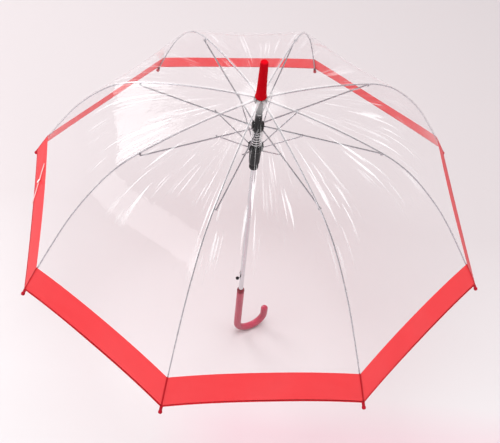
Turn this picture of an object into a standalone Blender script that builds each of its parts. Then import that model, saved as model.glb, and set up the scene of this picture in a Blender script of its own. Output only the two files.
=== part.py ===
"""Clear dome umbrella with a straight shaft, eight ribs and a crook handle.

Metres, +Z up along the shaft. The origin is the middle of the straight grip, on the shaft axis.
Heights named *_H are measured from the rib pivots at the crown, positive upwards.
"""

import math

import bmesh
import bpy
import numpy as np

# ---- driving dimensions -------------------------------------------------
RIBS = 8
CROWN_Z = 0.645            # rib pivots above the grip centre
RIB_ARC = 0.600            # one rib along its curve
RIB_BREAK = 0.285          # arc length at which the flexing zone is hinged
JOINT_ARC = 0.2235         # arc length at which a stretcher meets its rib
ARC_AT = (0.0, 0.2235, 0.3055, 0.4285, 0.600)
SLOPE_AT = (4.8, 18.4, 42.6, 57.5, 62.4)   # downward slope of the rib in degrees
CROWN_R = 0.009            # pivot circle of the ribs
HUB_R = 0.009              # pivot circle of the stretchers
HUB_H = -0.0665
RUNNER_R = 0.0126          # pivot circle of the struts
RUNNER_H = -0.1180
STRUT_SHARE = 0.335        # where a strut meets its stretcher
STRETCHER_Y = 0.0031       # stretchers run beside the rib plane
LUG_DROP = 0.0042          # stretcher pin under the rib's centre line
LUG_HALF = 0.0030
RIB_W, RIB_T = 0.0028, 0.0022
ROD_W, ROD_T = 0.0026, 0.0024
STRUT_W = 0.0024
FILM_T = 0.0005
FILM_LIFT = 0.0027
FILM_GAP = 0.0003
FILM_END = RIB_ARC - 0.0122
HEM_W = 0.046              # coloured band along the rim
SHAFT_R, SHAFT_BORE = 0.0049, 0.0041
SLIDE_BORE = 0.0053
SHAFT_TOP_H, SHAFT_END_H = 0.046, -0.612
FERRULE_TOP_H, FERRULE_BASE_H = 0.087, 0.0052
HANDLE_TOP_H = -0.579
HANDLE_R = 0.0080
HOOK_R = 0.0335
HOOK_START_H = -0.6995
HOOK_ARM = 0.016
CATCH_PIVOT_H = -0.558
NOSE_H = -0.5075
BALL_H = -0.5245
BALL_X, BALL_R = -0.0110, 0.0038
CLEAR = 0.0003


def rib_points(start, stop, count):
    """Centre line of a rib as radius and height, between two arc lengths."""
    fine = np.linspace(0.0, RIB_ARC, 1201)
    slope = np.radians(np.interp(fine, ARC_AT, SLOPE_AT))
    middle = (slope[1:] + slope[:-1]) / 2
    step = fine[1] - fine[0]
    radius = CROWN_R + np.concatenate([[0.0], np.cumsum(np.cos(middle)) * step])
    height = -np.concatenate([[0.0], np.cumsum(np.sin(middle)) * step])
    at = np.linspace(start, stop, count)
    return [
        (float(np.interp(a, fine, radius)), float(np.interp(a, fine, height)))
        for a in at
    ]


def material(name, colour, metallic, roughness, alpha=1.0):
    found = bpy.data.materials.new(name)
    found.use_nodes = True
    node = found.node_tree.nodes["Principled BSDF"]
    node.inputs["Base Color"].default_value = (*colour, 1.0)
    node.inputs["Metallic"].default_value = metallic
    node.inputs["Roughness"].default_value = roughness
    node.inputs["Alpha"].default_value = alpha
    return found


def add(name, verts, faces, origin, look):
    """One object from world points, with its origin on its joint axis."""
    origin = np.array(origin, float)
    mesh = bpy.data.meshes.new(name)
    points = [tuple(np.array(v, float) - origin) for v in verts]
    mesh.from_pydata(points, [], [tuple(f) for f in faces])
    bm = bmesh.new()
    bm.from_mesh(mesh)
    bmesh.ops.recalc_face_normals(bm, faces=bm.faces)
    bm.to_mesh(mesh)
    bm.free()
    mesh.materials.append(material(name + "_look", *look))
    thing = bpy.data.objects.new(name, mesh)
    thing.location = origin
    bpy.context.scene.collection.objects.link(thing)
    return thing


def loft(rings, wrap=False):
    """Skin over rings of equal length. A ring of one point closes an end."""
    verts, faces, starts = [], [], []
    for ring in rings:
        starts.append(len(verts))
        verts += [tuple(p) for p in ring]
    spans = len(rings) if wrap else len(rings) - 1
    for i in range(spans):
        j = (i + 1) % len(rings)
        a, b = rings[i], rings[j]
        count = max(len(a), len(b))
        for k in range(count):
            m = (k + 1) % count
            if len(a) == 1:
                faces.append((starts[i], starts[j] + m, starts[j] + k))
            elif len(b) == 1:
                faces.append((starts[i] + k, starts[i] + m, starts[j]))
            else:
                faces.append(
                    (starts[i] + k, starts[i] + m, starts[j] + m, starts[j] + k)
                )
    if not wrap:
        for start, ring in ((starts[0], rings[0]), (starts[-1], rings[-1])):
            if len(ring) > 2:
                faces.append(tuple(range(start, start + len(ring))))
    return verts, faces


def circle(centre, u, v, radius, sides):
    if radius <= 0.0:
        return [tuple(centre)]
    turn = [2 * math.pi * k / sides for k in range(sides)]
    c, u, v = (np.array(x, float) for x in (centre, u, v))
    return [tuple(c + radius * (math.cos(t) * u + math.sin(t) * v)) for t in turn]


def lathe(profile, sides, wrap=False):
    """Turned body on the shaft axis from pairs of radius and height."""
    rings = [circle((0, 0, CROWN_Z + h), (1, 0, 0), (0, 1, 0), r, sides) for r, h in profile]
    return loft(rings, wrap)


def turned(point, angle):
    c, s = math.cos(angle), math.sin(angle)
    x, y, z = point
    return (c * x - s * y, s * x + c * y, z)


def joint_point():
    """Where a stretcher meets the lug under its rib, as radius and height."""
    r, h = rib_points(JOINT_ARC, JOINT_ARC, 1)[0]
    a = math.radians(float(np.interp(JOINT_ARC, ARC_AT, SLOPE_AT)))
    return r - math.sin(a) * LUG_DROP, h - math.cos(a) * LUG_DROP


def bar(path, thick, width, side, deeper=None):
    """Flat bar along a path in the rib plane, thickness given point by point.

    deeper adds depth on the lower side only, point by point.
    """
    path = np.array(path, float)
    along = np.gradient(path, axis=0)
    along /= np.linalg.norm(along, axis=1)[:, None]
    normal = np.stack([-along[:, 1], along[:, 0]], 1)
    rings = []
    extra = [0.0] * len(path) if deeper is None else deeper
    for (r, h), n, t, more in zip(path, normal, thick, extra):
        ring = []
        for up, out in ((1, -1), (1, 1), (-1, 1), (-1, -1)):
            p = np.array([r, h]) + n * up * (t / 2 + (more if up < 0 else 0.0))
            ring.append((p[0], side + out * width / 2, CROWN_Z + p[1]))
        rings.append(ring)
    return loft(rings)


def eyed(path, thick, eye, start=True, end=True):
    """Adds round eyes centred on the ends of a path."""
    path = np.array(path, float)
    steps = [(-1.0, 0.25), (-0.75, 0.68), (-0.35, 0.95), (0.0, 1.0), (0.5, 0.88), (1.0, None)]
    points, sizes = [], []

    def put(base, direction, order):
        for share, size in order:
            points.append(base + direction * share * eye)
            sizes.append(thick if size is None else max(size * 2 * eye, 0.0004))

    first = (path[1] - path[0]) / np.linalg.norm(path[1] - path[0])
    last = (path[-1] - path[-2]) / np.linalg.norm(path[-1] - path[-2])
    if start:
        put(path[0], first, steps)
    else:
        points.append(path[0])
        sizes.append(thick)
    for p in path[1:-1]:
        points.append(p)
        sizes.append(thick)
    if end:
        put(path[-1], -last, steps[::-1])
    else:
        points.append(path[-1])
        sizes.append(thick)
    return points, sizes


def spread(name, verts, faces, pivot, look):
    """Eight copies round the shaft, each with its origin on its own pivot."""
    for k in range(RIBS):
        angle = 2 * math.pi * k / RIBS
        points = [turned(v, angle) for v in verts]
        add(f"{name}_{k + 1}", points, faces, turned(pivot, angle), look)


def box(x0, x1, y0, y1, z0, z1):
    low = [(x0, y0, z0), (x1, y0, z0), (x1, y1, z0), (x0, y1, z0)]
    high = [(x, y, z1) for x, y, _ in low]
    return loft([low, high])


def cut(thing, verts, faces):
    """Takes a cutter out of an object and leaves a plain mesh."""
    tool = add(thing.name + "_tool", verts, faces, (0, 0, 0), ((0.5, 0.5, 0.5), 0.0, 0.5))
    tool.hide_render = True
    tool.display_type = "WIRE"
    step = thing.modifiers.new("slots", "BOOLEAN")
    step.operation, step.solver, step.object = "DIFFERENCE", "EXACT", tool
    bpy.context.view_layer.update()
    graph = bpy.context.evaluated_depsgraph_get()
    mesh = bpy.data.meshes.new_from_object(thing.evaluated_get(graph))
    thing.modifiers.clear()
    look = thing.data.materials[0]
    thing.data = mesh
    mesh.materials.clear()
    mesh.materials.append(look)
    for face in mesh.polygons:
        face.material_index = 0
    bpy.data.objects.remove(tool)


def slots(r0, r1, side, width, h0, h1):
    """Eight radial cutters joined as one mesh."""
    verts, faces = [], []
    base, shape = box(r0, r1, side - width / 2, side + width / 2, CROWN_Z + h0, CROWN_Z + h1)
    for k in range(RIBS):
        start = len(verts)
        verts += [turned(v, 2 * math.pi * k / RIBS) for v in base]
        faces += [tuple(start + i for i in f) for f in shape]
    return verts, faces


for old in list(bpy.data.objects):
    bpy.data.objects.remove(old)

RED = ((0.62, 0.010, 0.030), 0.0, 0.24)
CRIMSON = ((0.30, 0.008, 0.030), 0.0, 0.30)
BLACK = ((0.012, 0.012, 0.014), 0.0, 0.35)
STEEL = ((0.62, 0.62, 0.64), 1.0, 0.28)
ZINC = ((0.70, 0.70, 0.71), 1.0, 0.38)
CLEAR_FILM = ((0.95, 0.96, 0.97), 0.0, 0.08, 0.28)

# ---- ribs, outer ribs and their tips ------------------------------------
before = rib_points(0.0, JOINT_ARC - LUG_HALF - 0.0012, 11)
lug = rib_points(JOINT_ARC - LUG_HALF, JOINT_ARC + LUG_HALF, 5)
after = rib_points(JOINT_ARC + LUG_HALF + 0.0012, RIB_BREAK - 0.0019, 5)
points, sizes = eyed(before + lug + after, RIB_T, 0.0014, end=False)
deeper = [0.0] * len(points)
for k in range(5):
    deeper[len(points) - len(after) - 5 + k] = LUG_DROP + (0.0006 if k in (1, 2, 3) else -0.0006)
verts, faces = bar(points, sizes, RIB_W, 0.0, deeper)
spread("rib_inner", verts, faces, (CROWN_R, 0, CROWN_Z), STEEL)

outer = rib_points(RIB_BREAK, RIB_ARC - 0.0050, 15)
points, sizes = eyed(outer, RIB_T, 0.0012, end=False)
verts, faces = bar(points, sizes, RIB_W, 0.0)
break_r, break_h = outer[0]
spread("rib_outer", verts, faces, (break_r, 0, CROWN_Z + break_h), STEEL)

end_r, end_h = rib_points(RIB_ARC, RIB_ARC, 1)[0]
fall = math.radians(SLOPE_AT[-1])
along = np.array([math.cos(fall), 0.0, -math.sin(fall)])
across = np.array([math.sin(fall), 0.0, math.cos(fall)])
end = np.array([end_r, 0.0, CROWN_Z + end_h])
rings = []
for back, radius in (
    (-0.0047, 0.0), (-0.0047, 0.0021), (-0.0116, 0.0021), (-0.0116, 0.0028),
    (-0.0100, 0.0031), (-0.0062, 0.0026), (-0.0052, 0.0027), (-0.0042, 0.0036),
    (-0.0018, 0.0042), (0.0006, 0.0037), (0.0020, 0.0024), (0.0028, 0.0),
):
    rings.append(circle(end + along * back, across, (0, 1, 0), radius, 12))
verts, faces = loft(rings)
spread("rib_tip", verts, faces, tuple(end), CRIMSON)

# ---- stretchers and struts ----------------------------------------------
joint_r, joint_h = joint_point()
hub = np.array([HUB_R, HUB_H])
joint = np.array([joint_r, joint_h])
path = [hub + (joint - hub) * s for s in np.linspace(0, 1, 4)]
points, sizes = eyed(path, ROD_T, 0.0015)
verts, faces = bar(points, sizes, ROD_W, STRETCHER_Y)
spread("stretcher", verts, faces, (HUB_R, 0, CROWN_Z + HUB_H), STEEL)

meet = hub + (joint - hub) * STRUT_SHARE
low = np.array([RUNNER_R, RUNNER_H])
path = [low + (meet - low) * s for s in np.linspace(0, 1, 4)]
points, sizes = eyed(path, 0.0022, 0.0014)
verts, faces = bar(points, sizes, STRUT_W, 0.0)
spread("strut", verts, faces, (RUNNER_R, 0, CROWN_Z + RUNNER_H), STEEL)

# ---- canopy gores --------------------------------------------------------
ROWS, COLUMNS = 19, 8
crest = [(0.0066, 0.0042), (0.0128, 0.0041)]
lifted = rib_points(0.030, FILM_END, ROWS - 2)
slopes = np.radians(np.interp(np.linspace(0.030, FILM_END, ROWS - 2), ARC_AT, SLOPE_AT))
crest += [
    (r + math.sin(a) * FILM_LIFT, h + math.cos(a) * FILM_LIFT)
    for (r, h), a in zip(lifted, slopes)
]
half = math.pi / RIBS
tops, bottoms = [], []
for i, (r, h) in enumerate(crest):
    before, after = crest[max(i - 1, 0)], crest[min(i + 1, len(crest) - 1)]
    tilt = math.atan2(before[1] - after[1], after[0] - before[0])
    row_top, row_bottom = [], []
    for j in range(COLUMNS + 1):
        t = j / COLUMNS * 2 - 1
        reach = r * math.cos(half)
        y = t * (r * math.sin(half) - FILM_GAP / 2)
        row_bottom.append((reach, y, CROWN_Z + h))
        lift = FILM_T
        row_top.append(
            (reach + math.sin(tilt) * lift, y, CROWN_Z + h + math.cos(tilt) * lift)
        )
    tops.append(row_top)
    bottoms.append(row_bottom)
verts, faces = loft([t + b[::-1] for t, b in zip(tops, bottoms)])
faces = faces[:-2]
for row in (0, ROWS - 1):
    base = row * 2 * (COLUMNS + 1)
    last = 2 * (COLUMNS + 1) - 1
    for j in range(COLUMNS):
        faces.append((base + j, base + j + 1, base + last - j - 1, base + last - j))
for k in range(RIBS):
    angle = 2 * math.pi * k / RIBS
    shifted = [turned(v, angle + half) for v in verts]
    pivot = turned((CROWN_R, 0, CROWN_Z), angle)
    add(f"gore_{k + 1}", shifted, faces, pivot, CLEAR_FILM)

# ---- crown notch with its sleeve ----------------------------------------
verts, faces = lathe(
    [
        (SLIDE_BORE, -0.0340), (0.0062, -0.0340), (0.0064, -0.0060), (0.0118, -0.0045),
        (0.0122, -0.0035), (0.0122, 0.0026), (0.0115, 0.0036), (SLIDE_BORE, 0.0036),
    ],
    32, wrap=True,
)
crown = add("crown_notch", verts, faces, (0, 0, CROWN_Z), BLACK)
cut(crown, *slots(0.0071, 0.0140, 0.0, RIB_W + 0.0007, -0.0080, 0.0020))

# ---- ferrule --------------------------------------------------------------
top, foot = FERRULE_TOP_H, FERRULE_BASE_H
verts, faces = lathe(
    [
        (0.0, 0.0480), (SLIDE_BORE, 0.0480), (SLIDE_BORE, foot), (0.0104, foot),
        (0.0110, foot + 0.0012), (0.0108, foot + 0.0035), (0.0094, foot + 0.0060),
        (0.0086, foot + 0.0105), (0.0081, foot + 0.0200), (0.0076, 0.0480),
        (0.0070, top - 0.0060), (0.0064, top - 0.0012), (0.0052, top), (0.0, top),
    ],
    32,
)
add("ferrule", verts, faces, (0, 0, CROWN_Z), RED)

# ---- shaft tube with the catch slot --------------------------------------
verts, faces = lathe(
    [
        (SHAFT_BORE, SHAFT_END_H), (SHAFT_R, SHAFT_END_H),
        (SHAFT_R, SHAFT_TOP_H), (SHAFT_BORE, SHAFT_TOP_H),
    ],
    32, wrap=True,
)
shaft = add("shaft_tube", verts, faces, (0, 0, 0), STEEL)
cut(shaft, *box(-0.009, -0.002, -0.0013, 0.0013, CROWN_Z - 0.5290, CROWN_Z - 0.5010))

# ---- upper hub with its sleeve inside the spring ----------------------------
verts, faces = lathe(
    [
        (SLIDE_BORE, -0.1092), (0.0056, -0.1092), (0.0057, -0.1080), (0.0057, -0.0752),
        (0.0088, -0.0747), (0.0108, -0.0732), (0.0115, -0.0710), (0.0116, -0.0620),
        (0.0108, -0.0595), (0.0084, -0.0578), (0.0069, -0.0545), (0.0064, -0.0400),
        (0.0060, -0.0380), (SLIDE_BORE, -0.0380),
    ],
    32, wrap=True,
)
slider = add("upper_hub", verts, faces, (0, 0, CROWN_Z + HUB_H), BLACK)
cut(slider, *slots(0.0068, 0.0140, STRETCHER_Y, ROD_W + 0.0007, HUB_H - 0.0024, HUB_H + 0.0120))

# ---- lower runner ----------------------------------------------------------
verts, faces = lathe(
    [
        (SLIDE_BORE, -0.1780), (0.0072, -0.1780), (0.0084, -0.1768), (0.0088, -0.1745),
        (0.0087, -0.1700), (0.0078, -0.1672), (0.0090, -0.1650), (0.0100, -0.1610),
        (0.0106, -0.1450), (0.0111, -0.1290), (0.0136, -0.1252), (0.0142, -0.1238),
        (0.0142, -0.1160), (0.0134, -0.1142), (0.0122, -0.1135), (0.0100, -0.1135),
        (0.0100, -0.1330), (0.0065, -0.1330), (0.0065, -0.1102), (0.0060, -0.1102),
        (0.0060, -0.1445), (SLIDE_BORE, -0.1445),
    ],
    36, wrap=True,
)
runner = add("lower_runner", verts, faces, (0, 0, CROWN_Z + RUNNER_H), BLACK)
cut(runner, *slots(0.0109, 0.0160, 0.0, STRUT_W + 0.0008, RUNNER_H - 0.0020, RUNNER_H + 0.0080))
cut(runner, *box(-0.0110, -0.0045, -0.0015, 0.0015, CROWN_Z - 0.1748, CROWN_Z - 0.1640))

# ---- opening spring --------------------------------------------------------
TURNS, PER_TURN = 9, 18
rings = []
bottom_h, top_h = -0.1318, -0.0762
for i in range(TURNS * PER_TURN + 1):
    share = i / (TURNS * PER_TURN)
    angle = 2 * math.pi * i / PER_TURN
    radius = 0.0087 - 0.0014 * share
    height = CROWN_Z + bottom_h + (top_h - bottom_h) * share
    centre = np.array([radius * math.cos(angle), radius * math.sin(angle), height])
    away = np.array([math.cos(angle), math.sin(angle), 0.0])
    rings.append(circle(centre, away, (0, 0, 1), 0.0007, 6))
verts, faces = loft(rings)
add("opening_spring", verts, faces, (0, 0, CROWN_Z + bottom_h), ZINC)

# ---- catch lever and its ball ---------------------------------------------
outline = [
    (-0.0036, CATCH_PIVOT_H - 0.0020), (-0.0016, CATCH_PIVOT_H - 0.0020),
    (-0.0016, NOSE_H + 0.0030), (-0.0030, NOSE_H + 0.0030), (-0.0076, NOSE_H + 0.0002),
    (-0.0076, NOSE_H - 0.0018), (-0.0036, NOSE_H - 0.0026), (-0.0036, BALL_H + 0.0009),
    (-0.0092, BALL_H + 0.0009), (-0.0092, BALL_H - 0.0009), (-0.0036, BALL_H - 0.0009),
]
rings = [[(x, y, CROWN_Z + h) for x, h in outline] for y in (-0.0008, 0.0008)]
verts, faces = loft(rings)
pivot = (-0.0026, 0, CROWN_Z + CATCH_PIVOT_H)
add("catch_lever", verts, faces, pivot, ZINC)

rings = []
centre = np.array([BALL_X, 0.0, CROWN_Z + BALL_H])
profile = [(0.0014, 0.0), (0.0014, 0.0016), (0.0034, 0.0016)]
for k in range(1, 9):
    a = math.pi * (0.14 + 0.86 * k / 8)
    profile.append((BALL_R * math.cos(a), BALL_R * math.sin(a) if k < 8 else 0.0))
for x, radius in profile:
    rings.append(circle(centre + np.array([x, 0, 0]), (0, 1, 0), (0, 0, 1), radius, 16))
verts, faces = loft(rings)
add("release_button", verts, faces, pivot, BLACK)

# ---- crook handle and its collar ------------------------------------------
path = [((0, 0, h), (0, 0, -1), r) for h, r in (
    (HANDLE_TOP_H, 0.0072), (HANDLE_TOP_H - 0.0012, 0.0078), (HANDLE_TOP_H - 0.004, HANDLE_R),
    (HANDLE_TOP_H - 0.040, HANDLE_R), (HANDLE_TOP_H - 0.080, HANDLE_R),
)]
for k in range(17):
    a = math.pi * k / 16
    at = (HOOK_R * (1 - math.cos(a)), 0, HOOK_START_H - HOOK_R * math.sin(a))
    path.append((at, (math.sin(a), 0, -math.cos(a)), HANDLE_R))
for rise, r in (
    (HOOK_ARM * 0.5, HANDLE_R), (HOOK_ARM, HANDLE_R), (HOOK_ARM + 0.003, 0.0072),
    (HOOK_ARM + 0.0055, 0.0056), (HOOK_ARM + 0.0070, 0.0032), (HOOK_ARM + 0.0075, 0.0),
):
    path.append(((2 * HOOK_R, 0, HOOK_START_H + rise), (0, 0, 1), r))
bore = SHAFT_R + CLEAR
rings = [
    circle((0, 0, CROWN_Z + SHAFT_END_H - 0.001), (1, 0, 0), (0, 1, 0), r, 24) for r in (0.0, bore)
]
rings.append(circle((0, 0, CROWN_Z + HANDLE_TOP_H), (1, 0, 0), (0, 1, 0), bore, 24))
for (x, y, h), (dx, dy, dz), r in path:
    u = np.array([-dz, 0.0, dx])
    rings.append(circle((x, y, CROWN_Z + h), u, (0, 1, 0), r, 24))
verts, faces = loft(rings)
add("handle", verts, faces, (0, 0, 0), RED)

high = HANDLE_TOP_H + 0.0003
verts, faces = lathe(
    [
        (SLIDE_BORE, high), (0.0074, high), (0.0080, high + 0.0010), (0.0080, high + 0.0060),
        (0.0070, high + 0.0085), (0.0062, high + 0.0100), (SLIDE_BORE, high + 0.0100),
    ],
    32, wrap=True,
)
add("handle_collar", verts, faces, (0, 0, CROWN_Z + high), RED)

# ---- tie strap across the band ---------------------------------------------
STRAP_RIB = 4
angle = 2 * math.pi * (STRAP_RIB - 1) / RIBS
rows = []
for i in range(13):
    share = i / 12
    arc = 0.531 + (0.583 - 0.531) * share
    y = 0.070 + (0.140 - 0.070) * share
    r, h = rib_points(arc, arc, 1)[0]
    slope = math.radians(float(np.interp(arc, ARC_AT, SLOPE_AT)))
    down = np.array([math.cos(slope), -math.sin(slope)])
    out = np.array([math.sin(slope), math.cos(slope)])
    wide = 0.0030 if i not in (0, 12) else 0.0020
    ring = []
    for aside, lift in ((-wide, 0.0037), (wide, 0.0037), (wide, 0.0045), (-wide, 0.0045)):
        p = np.array([r, h]) + down * aside * 0.8 + out * lift
        across = y - aside * 0.6
        ring.append((p[0] - across * math.tan(half), across, CROWN_Z + p[1]))
    rows.append(ring)
verts, faces = loft(rows)
verts = [turned(v, angle) for v in verts]
add("tie_strap", verts, faces, turned((break_r, 0, CROWN_Z + break_h), angle), CLEAR_FILM)
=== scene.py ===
"""Looks for the clear dome umbrella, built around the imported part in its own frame."""

import math

import bmesh
import bpy
import numpy as np
from mathutils import Matrix, Vector


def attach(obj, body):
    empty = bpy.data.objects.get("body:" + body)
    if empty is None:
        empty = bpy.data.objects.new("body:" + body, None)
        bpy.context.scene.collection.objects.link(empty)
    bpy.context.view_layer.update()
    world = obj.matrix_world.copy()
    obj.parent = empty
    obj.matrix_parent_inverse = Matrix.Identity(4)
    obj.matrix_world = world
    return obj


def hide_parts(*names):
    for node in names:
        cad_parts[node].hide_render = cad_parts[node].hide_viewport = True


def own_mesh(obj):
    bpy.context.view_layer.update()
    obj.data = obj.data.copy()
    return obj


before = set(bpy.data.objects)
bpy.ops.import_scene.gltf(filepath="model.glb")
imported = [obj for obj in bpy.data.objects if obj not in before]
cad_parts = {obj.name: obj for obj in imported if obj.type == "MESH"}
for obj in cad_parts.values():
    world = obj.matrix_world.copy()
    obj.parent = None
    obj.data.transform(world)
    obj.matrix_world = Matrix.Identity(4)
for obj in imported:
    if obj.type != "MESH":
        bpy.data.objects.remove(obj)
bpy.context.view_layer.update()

# ---- driving dimensions: heights start at the rib pivots, arcs run along a rib ----
RIBS = 8
HALF = math.pi / RIBS
CROWN_Z = 0.645            # the rib pivots, in the frame
ARC_AT = (0.0, 0.2235, 0.3055, 0.4285, 0.600)
SLOPE_AT = (4.8, 18.4, 42.6, 57.5, 62.4)
RIB_ARC, RIB_BREAK, JOINT_ARC = 0.600, 0.285, 0.2235
CROWN_R, HUB_R, HUB_H = 0.009, 0.009, -0.0665
RUNNER_R, RUNNER_H, STRUT_SHARE = 0.0126, -0.1180, 0.335
LUG_DROP = 0.0042
STRETCHER_Y = 0.0031
FILM_LIFT, FILM_END = 0.0027, 0.5878
FILM_FROM = 0.030          # the film follows the rib from this arc on
SAG = 0.0042
COLS = 16
BAND_AT = 0.528
HEM_AT = 0.5852
STRAP_RIB = 4
STRAP_FROM, STRAP_TO = 0.531, 0.583
FERRULE_FOOT, FERRULE_TOP = 0.0052, 0.087
SPRING_FOOT_H, SPRING_TOP_H = -0.1318, -0.0762
HANDLE_TOP, HANDLE_BORE, SHAFT_END_H = -0.579, 0.0052, -0.613
HOOK_START, HOOK_R, GRIP_R, HOOK_ARM = -0.6995, 0.0335, 0.0080, 0.016
BUTTON_X, BUTTON_H, BUTTON_R = -0.0110, -0.5245, 0.0038
FLOOR_H = -0.7412
HORIZON = (0.80, 0.765, 0.775)

FINE = np.linspace(0.0, RIB_ARC, 1201)
STEP = FINE[1] - FINE[0]
slopes = np.radians(np.interp(FINE, ARC_AT, SLOPE_AT))
middles = (slopes[1:] + slopes[:-1]) / 2
LINE_R = CROWN_R + np.concatenate([[0.0], np.cumsum(np.cos(middles)) * STEP])
LINE_H = -np.concatenate([[0.0], np.cumsum(np.sin(middles)) * STEP])


def rib_at(s):
    """Radius and height of a rib's centre line at an arc length."""
    return np.array([np.interp(s, FINE, LINE_R), np.interp(s, FINE, LINE_H)])


def slope_at(s):
    return math.radians(float(np.interp(s, ARC_AT, SLOPE_AT)))


def crest_at(s):
    """Film line above a rib, running flat in under the ferrule near the crown."""
    base = max(s, FILM_FROM)
    a = slope_at(base)
    high = rib_at(base) + FILM_LIFT * np.array([math.sin(a), math.cos(a)])
    if s >= FILM_FROM:
        return high
    marks = np.array([[0.0066, 0.0042], [0.0128, 0.0041], high])
    return np.array([np.interp(s, (0.004, 0.010, FILM_FROM), marks[:, i]) for i in (0, 1)])


def spin(points, angle):
    """Turns points about the shaft."""
    c, s = math.cos(angle), math.sin(angle)
    points = np.asarray(points, float)
    turn = np.array([[c, -s, 0], [s, c, 0], [0, 0, 1]])
    return points @ turn.T


# ---- materials -------------------------------------------------------------


class Paint:
    """A small wrapper for building node materials."""

    def __init__(self, name):
        self.mat = bpy.data.materials.new(name)
        self.mat.use_nodes = True
        self.tree = self.mat.node_tree
        self.tree.nodes.clear()
        self.out = self.tree.nodes.new("ShaderNodeOutputMaterial")

    def node(self, kind, links=(), **values):
        made = self.tree.nodes.new(kind)
        for key, value in values.items():
            if key.startswith("p_"):
                setattr(made, key[2:], value)
        for key, value in dict(links).items():
            self.set(made.inputs[key], value)
        return made

    def set(self, socket, value):
        if isinstance(value, bpy.types.NodeSocket):
            self.tree.links.new(value, socket)
        elif isinstance(value, tuple) and len(value) == 3 and socket.type == "RGBA":
            socket.default_value = (*value, 1.0)
        else:
            socket.default_value = value

    def math(self, op, a, b=0.0, clamp=False):
        made = self.node("ShaderNodeMath", {0: a, 1: b}, p_operation=op, p_use_clamp=clamp)
        return made.outputs[0]

    def noise(self, where, scale, detail=2.0, rough=0.5, distort=0.0):
        made = self.node(
            "ShaderNodeTexNoise",
            {"Vector": where, "Scale": scale, "Detail": detail, "Roughness": rough, "Distortion": distort},
        )
        return made.outputs["Fac"]

    def ramp(self, fac, low, high, to_low=0.0, to_high=1.0):
        """Maps low..high to to_low..to_high and holds the ends."""
        made = self.node(
            "ShaderNodeMapRange",
            {"Value": fac, "From Min": low, "From Max": high, "To Min": to_low, "To Max": to_high},
        )
        return made.outputs["Result"]

    def stretch(self, where, scale):
        made = self.node("ShaderNodeMapping", {"Vector": where, "Scale": scale})
        return made.outputs["Vector"]

    def bump(self, height, strength, distance):
        made = self.node(
            "ShaderNodeBump", {"Height": height, "Strength": strength, "Distance": distance}
        )
        return made.outputs["Normal"]

    def blend(self, fac, a, b):
        made = self.node("ShaderNodeMix", p_data_type="RGBA")
        self.set(made.inputs[0], fac)
        self.set(made.inputs[6], a)
        self.set(made.inputs[7], b)
        return made.outputs[2]

    def principled(self, **values):
        made = self.node("ShaderNodeBsdfPrincipled")
        for key, value in values.items():
            self.set(made.inputs[key.replace("_", " ")], value)
        return made.outputs[0]

    def end(self, shader):
        self.tree.links.new(shader, self.out.inputs["Surface"])
        return self.mat


def plastic(name, low, high, rough, coat=0.0, scale=60.0, specular=0.5):
    """Moulded plastic, slightly mottled between two colours."""
    p = Paint(name)
    where = p.node("ShaderNodeTexCoord").outputs["Object"]
    cloud = p.noise(where, scale, 3.0)
    colour = p.blend(p.ramp(cloud, 0.3, 0.7), low, high)
    grain = p.noise(where, scale * 12, 2.0)
    return p.end(
        p.principled(
            Base_Color=colour,
            Roughness=p.ramp(cloud, 0.3, 0.7, rough * 0.85, rough * 1.2),
            Coat_Weight=coat,
            Coat_Roughness=0.08,
            Specular_IOR_Level=specular,
            Normal=p.bump(grain, 0.12, 0.0002),
        )
    )


def metal(name, low, high, rough, bright=1.0):
    """Drawn metal with fine streaks along the shaft."""
    p = Paint(name)
    where = p.node("ShaderNodeTexCoord").outputs["Object"]
    streak = p.noise(p.stretch(where, (1.0, 1.0, 0.06)), 720.0, 3.0)
    cloud = p.noise(where, 90.0, 2.0)
    colour = p.blend(p.ramp(streak, 0.25, 0.75), low, high)
    return p.end(
        p.principled(
            Base_Color=colour,
            Metallic=bright,
            Roughness=p.ramp(cloud, 0.3, 0.7, rough * 0.8, rough * 1.25),
            Normal=p.bump(streak, 0.10, 0.0002),
        )
    )


def clear_layers(p, uv, around, arc, broad, seam_mask, grazing, normal):
    """Haze, hazy surface and see-through layer of the clear film. The haze holds painted highlights:
    bright crease lines, stronger on the gores that face the main camera, and a pale strip along each rib
    that is partly weld and partly painted highlight. The haze is also whiter in a ring at the crown.
    """
    # Painted highlights: bright crease lines in the haze, not folds.
    highlight_noise = p.noise(p.stretch(uv, (20.0, 4.4, 1.0)), 1.7, 1.0, 0.4, 0.25)
    painted_crease_highlights = p.ramp(highlight_noise, 0.585, 0.65)
    window = p.math("MULTIPLY", p.ramp(arc, 0.05, 0.12), p.ramp(arc, 0.27, 0.36, 1.0, 0.0))
    patch = p.ramp(broad, 0.42, 0.58)
    painted_crease_highlights = p.math("MULTIPLY", p.math("MULTIPLY", painted_crease_highlights, window), patch)
    # The painted crease highlights are stronger on the gores that face the main camera.
    toward_camera = p.math("COSINE", p.math("MULTIPLY", p.math("SUBTRACT", around, 5.3), 0.785))
    painted_crease_highlights = p.math("MULTIPLY", painted_crease_highlights, p.ramp(toward_camera, -0.7, 0.3, 0.22, 0.62))
    # Pale strip along each rib: partly the weld and partly a painted highlight, strongest near the crown.
    weld_and_highlight = p.math("MULTIPLY", seam_mask, p.ramp(arc, 0.06, 0.26, 0.20, 0.05))
    haze = p.math("ADD", p.ramp(broad, 0.35, 0.7, 0.002, 0.014), weld_and_highlight)
    haze = p.math("ADD", haze, painted_crease_highlights)
    haze = p.math("ADD", haze, p.ramp(arc, 0.040, 0.022, 0.0, 0.22))
    haze = p.math("ADD", haze, p.math("MULTIPLY", grazing, 0.25), clamp=True)
    body = p.principled(Base_Color=(0.94, 0.93, 0.94), Roughness=0.35, Normal=normal)
    through = p.node("ShaderNodeBsdfTransparent", {"Color": (0.985, 0.968, 0.972)}).outputs[0]
    return haze, body, through


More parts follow.
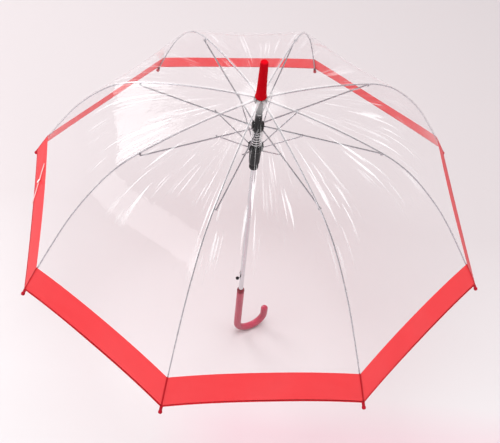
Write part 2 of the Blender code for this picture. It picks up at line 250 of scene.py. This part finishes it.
def red_layers(p, kind, waves, broad, seam_mask, grazing, normal):
    """Haze, coloured surface and see-through layer of the band or the hem."""
    mottled = p.ramp(waves, 0.3, 0.7)
    if kind == "band":
        haze = p.ramp(p.math("ADD", broad, p.math("MULTIPLY", seam_mask, 0.5)), 0.3, 1.0, 0.74, 0.92)
        haze = p.math("ADD", haze, p.math("MULTIPLY", grazing, 0.6), clamp=True)
        colour = p.blend(mottled, (1.0, 0.046, 0.058), (0.98, 0.034, 0.044))
        # Painted shade of the rib behind the band: denser, darker red along the ribs. The band also
        # darkens at grazing angles.
        colour = p.blend(p.math("MAXIMUM", seam_mask, grazing), colour, (0.58, 0.003, 0.012))
        tint = (1.0, 0.20, 0.20)
    else:
        haze = p.ramp(broad, 0.3, 0.7, 0.90, 0.97)
        colour = p.blend(mottled, (0.66, 0.003, 0.012), (0.58, 0.002, 0.008))
        tint = (1.0, 0.10, 0.10)
    body = p.principled(Base_Color=colour, Roughness=0.42, Specular_IOR_Level=0.15, Normal=normal)
    glow = p.node("ShaderNodeBsdfTranslucent", {"Color": colour, "Normal": normal}).outputs[0]
    body = p.node("ShaderNodeMixShader", {0: 0.28, 1: body, 2: glow}).outputs[0]
    through = p.node("ShaderNodeBsdfTransparent", {"Color": tint}).outputs[0]
    return haze, body, through


def film(name, kind):
    """Clear film, coloured band or folded hem. UV holds the way round in gores and the arc in metres."""
    p = Paint(name)
    uv = p.node("ShaderNodeTexCoord").outputs["UV"]
    split = p.node("ShaderNodeSeparateXYZ", {0: uv})
    around, arc = split.outputs[0], split.outputs[1]
    waves = p.noise(p.stretch(uv, (1.6, 9.0, 1.0)), 1.6, 3.0, 0.5, 0.6)
    broad = p.noise(p.stretch(uv, (2.2, 3.0, 1.0)), 1.5, 2.0)
    creases = p.noise(p.stretch(uv, (24.0, 3.0, 1.0)), 1.3, 2.0, 0.5, 0.3)
    near = p.ramp(arc, 0.03, 0.34, 1.0, 0.05)
    rim = p.ramp(arc, 0.46, 0.60, 0.0, 0.35)
    height = p.math("ADD", p.math("MULTIPLY", creases, p.math("ADD", near, rim)), waves)
    normal = p.bump(height, 0.5, 0.0030 if kind == "clear" else 0.0014)
    # Mask of a strip along each rib's seam. The clear film paints a pale highlight on it, and the band
    # paints a darker shade.
    seam = p.math("ABSOLUTE", p.math("SUBTRACT", p.math("FRACT", around), 0.5))
    seam = p.math("MULTIPLY", p.math("SUBTRACT", 0.5, seam), p.math("MULTIPLY", arc, 0.60))
    seam_mask = p.ramp(seam, 0.0016, 0.0021, 1.0, 0.0)
    facing = p.node("ShaderNodeLayerWeight", {"Blend": 0.5, "Normal": normal}).outputs["Facing"]
    grazing = p.math("POWER", facing, 5.0)
    share = p.math("ADD", p.math("MULTIPLY", grazing, 0.34), 0.026)
    if kind == "clear":
        haze, body, through = clear_layers(p, uv, around, arc, broad, seam_mask, grazing, normal)
    else:
        haze, body, through = red_layers(p, kind, waves, broad, seam_mask, grazing, normal)
        share = p.math("MULTIPLY", share, 0.3)
    mixed = p.node("ShaderNodeMixShader", {0: haze, 1: through, 2: body}).outputs[0]
    shine = p.node(
        "ShaderNodeBsdfGlossy", {"Color": (1.0, 1.0, 1.0), "Roughness": 0.05, "Normal": normal}
    ).outputs[0]
    return p.end(p.node("ShaderNodeMixShader", {0: share, 1: mixed, 2: shine}).outputs[0])


CLEAR = film("clear_film", "clear")
BAND = film("red_band", "band")
HEM = film("folded_hem", "hem")
RED = plastic("red_gloss", (0.50, 0.0010, 0.006), (0.56, 0.0016, 0.009), 0.5, 0.0, 40.0, specular=0.02)
GRIP = plastic("grip_red", (0.45, 0.036, 0.080), (0.51, 0.046, 0.095), 0.42, 0.6, 40.0, specular=0.3)
# The collar's darker red is a painted shade for the dark rim at the handle's bore.
COLLAR = plastic("collar_red", (0.20, 0.004, 0.016), (0.26, 0.006, 0.022), 0.4, 0.0, specular=0.2)
CRIMSON = plastic("tip_crimson", (0.42, 0.002, 0.014), (0.50, 0.003, 0.020), 0.4, 0.0, specular=0.2)
BLACK = plastic("black_plastic", (0.002, 0.002, 0.003), (0.005, 0.004, 0.006), 0.34, 0.0, specular=0.12)
STRAP = plastic("strap_film", (0.90, 0.42, 0.42), (0.94, 0.55, 0.54), 0.25, 0.4)
SNAP = plastic("snap_plastic", (0.90, 0.88, 0.88), (0.96, 0.94, 0.94), 0.25, 0.3)
SHAFT = metal("shaft_steel", (0.60, 0.60, 0.62), (0.74, 0.74, 0.76), 0.22)
CHANNEL = metal("channel_steel", (0.40, 0.40, 0.43), (0.72, 0.72, 0.75), 0.26)
ZINC = metal("zinc_wire", (0.66, 0.66, 0.68), (0.82, 0.82, 0.83), 0.26)
COIL = metal("coil_wire", (0.80, 0.80, 0.81), (0.92, 0.92, 0.93), 0.30, bright=0.4)


# ---- mesh helpers ----------------------------------------------------------


def make(name, verts, faces, mat, body, stands=()):
    """One piece that rides on a body and may stand for CAD nodes."""
    mesh = bpy.data.meshes.new(name)
    mesh.from_pydata([tuple(v) for v in verts], [], [tuple(f) for f in faces])
    mesh.validate()
    mesh.materials.append(mat)
    thing = bpy.data.objects.new(name, mesh)
    bpy.context.scene.collection.objects.link(thing)
    fix_normals(mesh)
    mesh.shade_smooth()
    mesh.set_sharp_from_angle(angle=math.radians(40.0))
    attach(thing, body)
    if stands:
        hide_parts(*stands)
    return thing


def fix_normals(mesh):
    bm = bmesh.new()
    bm.from_mesh(mesh)
    bmesh.ops.recalc_face_normals(bm, faces=bm.faces)
    bm.to_mesh(mesh)
    bm.free()


def loft(rings):
    """Skin over rings of equal length, with closed ends. A ring of one point closes an end."""
    verts, faces, starts = [], [], []
    for ring in rings:
        starts.append(len(verts))
        verts += [tuple(p) for p in ring]
    for i in range(len(rings) - 1):
        j = i + 1
        a, b = len(rings[i]), len(rings[j])
        for k in range(max(a, b)):
            m = (k + 1) % max(a, b)
            if a == 1:
                faces.append((starts[i], starts[j] + m, starts[j] + k))
            elif b == 1:
                faces.append((starts[i] + k, starts[i] + m, starts[j]))
            else:
                faces.append((starts[i] + k, starts[i] + m, starts[j] + m, starts[j] + k))
    for start, ring in ((starts[0], rings[0]), (starts[-1], rings[-1])):
        if len(ring) > 2:
            faces.append(tuple(range(start, start + len(ring))))
    return verts, faces


def circle(centre, u, v, radius, sides):
    c, u, v = (np.array(x, float) for x in (centre, u, v))
    if radius <= 0.0:
        return [tuple(c)]
    turns = [2 * math.pi * k / sides for k in range(sides)]
    return [tuple(c + radius * (math.cos(t) * u + math.sin(t) * v)) for t in turns]


def lathe(profile, sides):
    """Turned body on the shaft from pairs of radius and height."""
    rings = [circle((0, 0, CROWN_Z + h), (1, 0, 0), (0, 1, 0), r, sides) for r, h in profile]
    return loft(rings)


def rounded(profile, cuts):
    """Softens the corners of an open turned profile."""
    out = [profile[0]]
    for a, b, c in zip(profile[:-2], profile[1:-1], profile[2:]):
        a, b, c = (np.array(x, float) for x in (a, b, c))
        reach = min(np.linalg.norm(a - b), np.linalg.norm(c - b)) * 0.25
        first = b + (a - b) / max(np.linalg.norm(a - b), 1e-9) * reach
        last = b + (c - b) / max(np.linalg.norm(c - b), 1e-9) * reach
        for i in range(cuts + 1):
            t = i / cuts
            out.append(tuple((1 - t) ** 2 * first + 2 * t * (1 - t) * b + t * t * last))
    out.append(profile[-1])
    return [(max(r, 0.0), h) for r, h in out]


def section_sweep(path, section, side=0.0):
    """Sweeps a cross-section along a path in the rib plane. Section is (across, up) in metres."""
    path = np.array(path, float)
    along = np.gradient(path, axis=0)
    along /= np.linalg.norm(along, axis=1)[:, None]
    normal = np.stack([-along[:, 1], along[:, 0]], 1)
    rings = []
    for (r, h), n in zip(path, normal):
        ring = []
        for across, up in section:
            p = np.array([r, h]) + n * up
            ring.append((p[0], side + across, CROWN_Z + p[1]))
        rings.append(ring)
    return loft(rings)


def channel(width, height, wall):
    """U-shaped cross-section, open below."""
    w, h = width / 2, height / 2
    return [
        (-w, h - 0.0003), (-w + 0.0003, h), (w - 0.0003, h), (w, h - 0.0003), (w, -h),
        (w - wall, -h), (w - wall, h - wall), (-w + wall, h - wall), (-w + wall, -h), (-w, -h),
    ]


# ---- ribs, stretchers, struts and tips ------------------------------------
RIB_SECTION = channel(0.0021, 0.0018, 0.0004)
inner_line = [rib_at(s) for s in np.linspace(-0.0012, RIB_BREAK - 0.0016, 48)]
inner_line[0] = rib_at(0) - (rib_at(0.002) - rib_at(0)) * 0.6
outer_line = [rib_at(s) for s in np.linspace(RIB_BREAK + 0.0004, RIB_ARC - 0.0052, 48)]
lug_slope = slope_at(JOINT_ARC)
joint = rib_at(JOINT_ARC) - LUG_DROP * np.array([math.sin(lug_slope), math.cos(lug_slope)])
hub = np.array([HUB_R, HUB_H])
meet = hub + (joint - hub) * STRUT_SHARE
low = np.array([RUNNER_R, RUNNER_H])
reach = (joint - hub) / np.linalg.norm(joint - hub)
stretch_line = [hub - reach * 0.0013 + (joint + reach * 0.0026 - hub) * s for s in np.linspace(0, 1, 12)]
lean = (meet - low) / np.linalg.norm(meet - low)
strut_line = [low - lean * 0.0012 + (meet + lean * 0.0024 - low) * s for s in np.linspace(0, 1, 10)]
strut_section = [
    (0.0012 * math.cos(t), 0.0011 * math.sin(t)) for t in np.linspace(0, 2 * math.pi, 13)[:-1]
]
parts = {
    "rib_inner": (section_sweep(inner_line, RIB_SECTION), "rib"),
    "rib_outer": (section_sweep(outer_line, RIB_SECTION), "flex"),
    "stretcher": (section_sweep(stretch_line, channel(0.0022, 0.0019, 0.0004), STRETCHER_Y), "stretcher"),
    "strut": (section_sweep(strut_line, strut_section), "strut"),
}


def rivet(at, y0, y1):
    """Headed pin across the rib plane at a radius and height."""
    x, z = at[0], CROWN_Z + at[1]
    radius = 0.0011
    rings = []
    for y, r in (
        (y0 - 0.0005, 0.0), (y0 - 0.0004, radius * 0.8), (y0, radius * 1.35),
        (y0 + 0.0002, radius), (y1 - 0.0002, radius), (y1, radius * 1.35),
        (y1 + 0.0004, radius * 0.8), (y1 + 0.0005, 0.0),
    ):
        rings.append(circle((x, y, z), (1, 0, 0), (0, 0, 1), r, 12))
    return loft(rings)


def joined(*shapes):
    """Several shapes as one mesh."""
    verts, faces = [], []
    for more, some in shapes:
        start = len(verts)
        verts += [tuple(v) for v in more]
        faces += [tuple(start + i for i in f) for f in some]
    return verts, faces


def lug():
    """Ear under the rib that carries the stretcher pin."""
    along = np.array([math.cos(lug_slope), -math.sin(lug_slope)])
    under = -np.array([math.sin(lug_slope), math.cos(lug_slope)])
    at = rib_at(JOINT_ARC)
    outline = [at + along * x + under * d for x, d in ((-0.0034, 0.0002), (0.0034, 0.0002))]
    for i in range(9):
        t = math.pi * i / 8
        outline.append(joint + along * 0.0015 * math.cos(t) + under * 0.0014 * math.sin(t))
    rings = [[(r, y, CROWN_Z + h) for r, h in outline] for y in (-0.0011, 0.0011)]
    return loft(rings)


def barrel():
    """Round knuckle where the outer rib starts."""
    at = rib_at(RIB_BREAK)
    rings = []
    for y, r in (
        (-0.0013, 0.0), (-0.0013, 0.0010), (-0.0011, 0.0012),
        (0.0011, 0.0012), (0.0013, 0.0010), (0.0013, 0.0),
    ):
        rings.append(circle((at[0], y, CROWN_Z + at[1]), (1, 0, 0), (0, 0, 1), r, 14))
    return loft(rings)


def tip():
    """Round-ended cap on a rib's end, as a profile of radius and place along the rib."""
    fall = math.radians(SLOPE_AT[-1])
    end = rib_at(RIB_ARC)
    along = np.array([math.cos(fall), 0.0, -math.sin(fall)])
    up = np.array([math.sin(fall), 0.0, math.cos(fall)])
    base = np.array([end[0], 0.0, CROWN_Z + end[1]])
    profile = rounded(
        [
            (0.0, -0.0047), (0.0020, -0.0047), (0.0020, -0.0128), (0.0026, -0.0131),
            (0.0029, -0.0122), (0.0028, -0.0064), (0.0027, -0.0050), (0.0030, -0.0038),
            (0.0036, -0.0022), (0.0038, -0.0004), (0.0034, 0.0012), (0.0022, 0.0024), (0.0, 0.0028),
        ],
        2,
    )
    return loft([circle(base + along * place, up, (0, 1, 0), r, 24) for r, place in profile])


parts["rib_inner"] = (joined(parts["rib_inner"][0], lug()), "rib")
parts["rib_outer"] = (joined(parts["rib_outer"][0], barrel()), "flex")

for k in range(RIBS):
    angle, n = 2 * HALF * k, k + 1
    for base, ((verts, faces), body) in parts.items():
        make(
            f"{base}_look_{n}", spin(verts, angle), faces, CHANNEL,
            f"{body}_{n}", [f"{base}_{n}"],
        )
    verts, faces = tip()
    make(f"tip_look_{n}", spin(verts, angle), faces, CRIMSON, f"flex_{n}", [f"rib_tip_{n}"])
    verts, faces = rivet(joint, -0.0017, 0.0047)
    make(f"rib_rivet_{n}", spin(verts, angle), faces, ZINC, f"rib_{n}")
    verts, faces = rivet(meet, -0.0015, 0.0047)
    make(f"strut_rivet_{n}", spin(verts, angle), faces, ZINC, f"stretcher_{n}")

# ---- canopy ----------------------------------------------------------------


def panel_point(s, t):
    """Point of the film between rib 0 and rib 1. t runs from 0 at rib 0 to 1 at rib 1."""
    low = min(1.0, max(0.0, (s - 0.36) / (FILM_END - 0.36)))
    s = s - 0.0065 * low * low * (3 - 2 * low) * (1 - abs(2 * t - 1) ** 2.6)
    r, h = crest_at(s)
    a = np.array([r, 0.0, h])
    b = np.array([r * math.cos(2 * HALF), r * math.sin(2 * HALF), h])
    p = a + (b - a) * t
    slope = slope_at(max(s, FILM_FROM))
    out = np.array(
        [math.sin(slope) * math.cos(HALF), math.sin(slope) * math.sin(HALF), math.cos(slope)]
    )
    bow = (1 - (2 * t - 1) ** 2) ** 2
    sag = SAG * math.sin(math.pi * min(1.0, max(0.0, s / FILM_END))) ** 1.2
    pleat = 0.0006 * math.sin(t * 34.0) * math.exp(-(((s - 0.07) / 0.06) ** 2)) * bow
    p = p - out * (sag * bow) + out * pleat
    return np.array([p[0], p[1], CROWN_Z + p[2]])


def panel_normal(s, t):
    """Upward normal of the uncut film, so that its pieces shade as one sheet."""
    e = 1e-4
    ds = panel_point(min(s + e, FILM_END), t) - panel_point(max(s - e, 0.004), t)
    dt = panel_point(s, min(t + e, 1.0)) - panel_point(s, max(t - e, 0.0))
    n = np.cross(ds, dt)
    n /= np.linalg.norm(n)
    return n if n[2] > 0 else -n


inner_rows = [0.004, 0.007, 0.010, 0.016, 0.023] + list(np.linspace(FILM_FROM, RIB_BREAK, 20))
outer_rows = list(np.linspace(RIB_BREAK, BAND_AT, 18)) + list(np.linspace(BAND_AT, HEM_AT, 6)[1:])
outer_rows += [0.584, FILM_END]


def film_piece(k, side, part):
    """Half a gore on one side of rib k, over one of its two segments."""
    rows = inner_rows if part == "inner" else outer_rows
    half = COLS // 2
    verts, normals, uvs, faces, kinds = [], [], [], [], []
    panel = k if side > 0 else (k - 1) % RIBS
    for s in rows:
        for j in range(half + 1):
            t = j / COLS if side > 0 else 1 - j / COLS
            verts.append(spin([panel_point(s, t)], 2 * HALF * panel)[0])
            normals.append(spin([panel_normal(s, t)], 2 * HALF * panel)[0])
            uvs.append((panel + t, s))
    for i in range(len(rows) - 1):
        middle = (rows[i] + rows[i + 1]) / 2
        for j in range(half):
            a = i * (half + 1) + j
            quad = (a, a + half + 1, a + half + 2, a + 1)
            faces.append(quad if side > 0 else quad[::-1])
            kinds.append(0 if middle < BAND_AT else 1 if middle < HEM_AT else 2)
    name = f"film_{part}_{k + 1}{'a' if side > 0 else 'b'}"
    mesh = bpy.data.meshes.new(name)
    mesh.from_pydata([tuple(v) for v in verts], [], faces)
    layer = mesh.uv_layers.new(name="UVMap")
    for loop in mesh.loops:
        layer.data[loop.index].uv = uvs[loop.vertex_index]
    for mat in (CLEAR, BAND, HEM) if part == "outer" else (CLEAR,):
        mesh.materials.append(mat)
    for face, kind in zip(mesh.polygons, kinds):
        face.material_index = kind if part == "outer" else 0
        face.use_smooth = True
    mesh.normals_split_custom_set_from_vertices([tuple(n) for n in normals])
    thing = bpy.data.objects.new(name, mesh)
    bpy.context.scene.collection.objects.link(thing)
    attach(thing, f"{'rib' if part == 'inner' else 'flex'}_{k + 1}")
    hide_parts(f"gore_{panel + 1}")
    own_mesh(thing)


for k in range(RIBS):
    for side in (1, -1):
        for part in ("inner", "outer"):
            film_piece(k, side, part)

# ---- tie strap ---------------------------------------------------------------


def strap_shape():
    """Thin diagonal band over the film, with one rounded end."""
    rows = []
    for i in range(33):
        share = i / 32
        arc = STRAP_FROM + (STRAP_TO - STRAP_FROM) * share
        r, h = rib_at(arc)
        a = slope_at(arc)
        down, out = np.array([math.cos(a), -math.sin(a)]), np.array([math.sin(a), math.cos(a)])
        round_end = math.sqrt(max(0.0, 1 - max(0.0, (share - 0.94) / 0.06) ** 2)) * 0.75 + 0.25
        wide = 0.0020 * round_end
        ring = []
        for aside, lift in ((-wide, 0.0037), (wide, 0.0037), (wide, 0.0044), (-wide, 0.0044)):
            p = np.array([r, h]) + down * aside * 0.8 + out * lift
            across = 0.070 + 0.070 * share - aside * 0.6
            ring.append((p[0] - across * math.tan(HALF), across, CROWN_Z + p[1]))
        rows.append(ring)
    return loft(rows)


def snap_shape():
    """Round snap button on the strap."""
    arc, across = 0.5534, 0.1002
    r, h = rib_at(arc)
    a = slope_at(arc)
    out = np.array([math.sin(a), 0.0, math.cos(a)])
    down = np.array([math.cos(a), 0.0, -math.sin(a)])
    at = np.array([r - across * math.tan(HALF), across, CROWN_Z + h])
    rings = []
    for up, radius in (
        (0.0044, 0.0), (0.0044, 0.0048), (0.0050, 0.0050), (0.0058, 0.0044),
        (0.0063, 0.0030), (0.0059, 0.0026), (0.0059, 0.0),
    ):
        rings.append(circle(at + out * up, down, (0, 1, 0), radius, 24))
    return loft(rings)


strap_angle = 2 * HALF * (STRAP_RIB - 1)
verts, faces = strap_shape()
strap = make("strap_look", spin(verts, strap_angle), faces, STRAP, "flex_4", ["tie_strap"])
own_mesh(strap)
verts, faces = snap_shape()
button = make("snap_look", spin(verts, strap_angle), faces, SNAP, "flex_4")
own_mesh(button)

# ---- ferrule, spring, handle, button and the carried-over pieces -------------


def ferrule_shape():
    """Tapered cap over the shaft's top, with a blind bore."""
    foot, top = FERRULE_FOOT, FERRULE_TOP
    outside = rounded(
        [
            (0.0053, foot), (0.0100, foot), (0.0106, foot + 0.0010), (0.0104, foot + 0.0030),
            (0.0097, foot + 0.0055), (0.0092, foot + 0.0105), (0.0087, foot + 0.0200),
            (0.0080, 0.0480), (0.0072, top - 0.0060), (0.0066, top - 0.0012), (0.0054, top),
            (0.0, top),
        ],
        4,
    )
    return lathe([(0.0, 0.0480), (0.0053, 0.0480)] + outside, 64)


def spring_shape():
    """Coil spring, widest a little above its middle."""
    turns, per_turn = 9, 28
    rings = []
    for i in range(turns * per_turn + 1):
        share = i / (turns * per_turn)
        turn = 2 * math.pi * i / per_turn
        radius = float(np.interp(share, (0.0, 0.35, 0.65, 1.0), (0.0087, 0.0094, 0.0098, 0.0090)))
        centre = (
            radius * math.cos(turn), radius * math.sin(turn),
            CROWN_Z + SPRING_FOOT_H + (SPRING_TOP_H - SPRING_FOOT_H) * share,
        )
        rings.append(circle(centre, (math.cos(turn), math.sin(turn), 0), (0, 0, 1), 0.0008, 10))
    return loft(rings)


def handle_shape():
    """Straight grip with a bore for the shaft, a half-round crook and a domed end."""
    path = [
        ((0, 0, h), (0, 0, -1), r)
        for h, r in (
            (HANDLE_TOP, 0.0070), (HANDLE_TOP - 0.0005, 0.0075), (HANDLE_TOP - 0.0015, 0.0079),
            (HANDLE_TOP - 0.0035, GRIP_R), (HANDLE_TOP - 0.040, GRIP_R), (HANDLE_TOP - 0.080, GRIP_R),
        )
    ]
    for k in range(41):
        a = math.pi * k / 40
        at = (HOOK_R * (1 - math.cos(a)), 0, HOOK_START - HOOK_R * math.sin(a))
        path.append((at, (math.sin(a), 0, -math.cos(a)), GRIP_R))
    path.append(((2 * HOOK_R, 0, HOOK_START + HOOK_ARM), (0, 0, 1), GRIP_R))
    for k in range(1, 9):
        a = math.pi / 2 * k / 8
        rise = HOOK_ARM + 0.0075 * math.sin(a)
        radius = GRIP_R * math.cos(a) if k < 8 else 0.0
        path.append(((2 * HOOK_R, 0, HOOK_START + rise), (0, 0, 1), radius))
    rings = [
        circle((0, 0, CROWN_Z + SHAFT_END_H), (1, 0, 0), (0, 1, 0), r, 48) for r in (0.0, HANDLE_BORE)
    ]
    rings.append(circle((0, 0, CROWN_Z + HANDLE_TOP), (1, 0, 0), (0, 1, 0), HANDLE_BORE, 48))
    for (x, y, h), (dx, dy, dz), r in path:
        rings.append(circle((x, y, CROWN_Z + h), (-dz, 0.0, dx), (0, 1, 0), r, 48))
    return loft(rings)


def button_shape():
    """Ball with a small round socket on the side of the shaft."""
    centre = CROWN_Z + BUTTON_H
    rings = [circle((BUTTON_X + 0.0014, 0, centre), (0, 1, 0), (0, 0, 1), r, 32) for r in (0.0, 0.0011)]
    for k in range(19):
        a = math.pi * (0.10 + 0.90 * k / 18)
        r = BUTTON_R * math.sin(a) if k < 18 else 0.0
        rings.append(circle((BUTTON_X + BUTTON_R * math.cos(a), 0, centre), (0, 1, 0), (0, 0, 1), r, 32))
    return loft(rings)


verts, faces = ferrule_shape()
make("ferrule_look", verts, faces, RED, "shaft", ["ferrule"])
verts, faces = spring_shape()
spring = make("spring_look", verts, faces, COIL, "runner", ["opening_spring"])
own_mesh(spring)
verts, faces = handle_shape()
make("handle_look", verts, faces, GRIP, "shaft", ["handle"])
verts, faces = button_shape()
make("button_look", verts, faces, BLACK, "catch", ["release_button"])

for name, mat in {
    "shaft_tube": SHAFT, "crown_notch": BLACK, "upper_hub": BLACK, "lower_runner": BLACK,
    "handle_collar": COLLAR, "catch_lever": ZINC,
}.items():
    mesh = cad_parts[name].data
    mesh.materials.clear()
    mesh.materials.append(mat)

# ---- stage -------------------------------------------------------------------


def floor_look():
    """Pale floor with painted light: darker and greyer away from the main camera, which is a painted
    shade, and a soft pink cast painted where light through the red band would fall. It fades into the
    backdrop's colour far away.
    """
    p = Paint("pale_floor")
    where = p.node("ShaderNodeTexCoord").outputs["Object"]
    cloud = p.noise(where, 1.5, 3.0)
    split = p.node("ShaderNodeSeparateXYZ", {0: where})
    x, y = split.outputs[0], split.outputs[1]
    away = p.math("ADD", p.math("MULTIPLY", x, 0.51), p.math("MULTIPLY", y, 0.86))
    aside = p.math("SUBTRACT", p.math("MULTIPLY", x, 0.86), p.math("MULTIPLY", y, 0.51))
    # Painted shade: the floor turns darker and greyer away from the main camera.
    tone = p.blend(p.ramp(away, -0.15, 0.35), (0.70, 0.675, 0.685), (0.58, 0.535, 0.545))
    tone = p.blend(p.ramp(cloud, 0.3, 0.7, 0.0, 0.05), tone, (0.66, 0.58, 0.60))
    # Painted light: a soft pink cast on the camera side, where light through the red band would fall. It
    # does not come from the film.
    painted_glow = p.math("MULTIPLY", p.ramp(away, -0.13, -0.24), p.ramp(aside, -0.16, 0.02))
    painted_glow = p.math("MULTIPLY", painted_glow, p.ramp(away, -0.60, -0.36))
    tone = p.blend(p.math("MULTIPLY", painted_glow, 0.55), tone, (0.72, 0.50, 0.56))
    near = p.principled(Base_Color=tone, Roughness=0.30, Specular_IOR_Level=0.25)
    square = p.math("ADD", p.math("POWER", x, 2.0), p.math("POWER", y, 2.0))
    distance = p.math("POWER", square, 0.5)
    far = p.node("ShaderNodeEmission", {"Color": HORIZON, "Strength": 1.0}).outputs[0]
    fade = p.ramp(distance, 1.6, 4.5)
    return p.end(p.node("ShaderNodeMixShader", {0: fade, 1: near, 2: far}).outputs[0])


bpy.ops.mesh.primitive_plane_add(size=120, location=(0, 0, CROWN_Z + FLOOR_H))
floor = bpy.context.object
floor.name = "floor"
floor.data.materials.append(floor_look())


def softbox(name, place, target, size, power):
    """Rectangular area light that the camera doesn't see."""
    data = bpy.data.lights.new(name, "AREA")
    data.shape, data.size, data.size_y = "RECTANGLE", size[0], size[1]
    data.energy = power
    light = bpy.data.objects.new(name, data)
    bpy.context.scene.collection.objects.link(light)
    light.location = place
    light.rotation_euler = (Vector(target) - Vector(place)).to_track_quat("-Z", "Y").to_euler()
    light.visible_camera = False
    return light


def bounce(name, near, azimuth, height, distance, size, radiance):
    """Softbox seen from a point of the film in a given direction, with a given brightness."""
    a, e = math.radians(azimuth), math.radians(height)
    way = np.array([math.cos(e) * math.cos(a), math.cos(e) * math.sin(a), math.sin(e)])
    place = np.array(near) + way * distance
    return softbox(name, tuple(place), near, size, radiance * math.pi * size[0] * size[1])


bounce("back_box", (-0.18, 0.06, 0.60), 103, 25, 2.6, (1.15, 1.5), 5.5)
bounce("left_box", (-0.25, -0.10, 0.56), 172, 29, 2.6, (1.2, 1.0), 2.6)
softbox("top", (0.2, 0.0, 4.0), (0, 0, 0.3), (3.0, 3.0), 152).visible_glossy = False


def studio_world():
    """Soft backdrop light that gets darker towards the zenith."""
    world = bpy.data.worlds.new("studio")
    world.use_nodes = True
    tree = world.node_tree
    sky = tree.nodes.new("ShaderNodeTexCoord").outputs["Generated"]
    split = tree.nodes.new("ShaderNodeSeparateXYZ")
    tree.links.new(sky, split.inputs[0])
    fade = tree.nodes.new("ShaderNodeMapRange")
    fade.interpolation_type = "SMOOTHSTEP"
    fade.inputs["From Min"].default_value, fade.inputs["From Max"].default_value = 0.05, 0.75
    tree.links.new(split.outputs[2], fade.inputs["Value"])
    shade = tree.nodes.new("ShaderNodeMix")
    shade.data_type = "RGBA"
    shade.inputs[6].default_value = (*HORIZON, 1.0)
    shade.inputs[7].default_value = (0.40, 0.385, 0.39, 1.0)
    tree.links.new(fade.outputs[0], shade.inputs[0])
    tree.links.new(shade.outputs[2], tree.nodes["Background"].inputs[0])
    return world


bpy.context.scene.world = studio_world()

# ---- camera --------------------------------------------------------------------
CAMERA_AT = Vector((-0.66213, -1.12269, 1.89888))
CAMERA_LOOK = Vector((0.32365, 0.54469, -0.77367))
CAMERA_UP = Vector((0.30139, 0.71574, 0.62999))
camera_data = bpy.data.cameras.new("camera")
camera_data.lens = 74.32
camera_data.sensor_width = 36.0
camera = bpy.data.objects.new("camera", camera_data)
bpy.context.scene.collection.objects.link(camera)
look = CAMERA_LOOK.normalized()
right = look.cross(CAMERA_UP).normalized()
up = right.cross(look)
turn = Matrix((right, up, -look)).transposed().to_4x4()
camera.matrix_world = Matrix.Translation(CAMERA_AT) @ turn
bpy.context.scene.camera = camera
bpy.context.scene.view_settings.view_transform = "Standard"
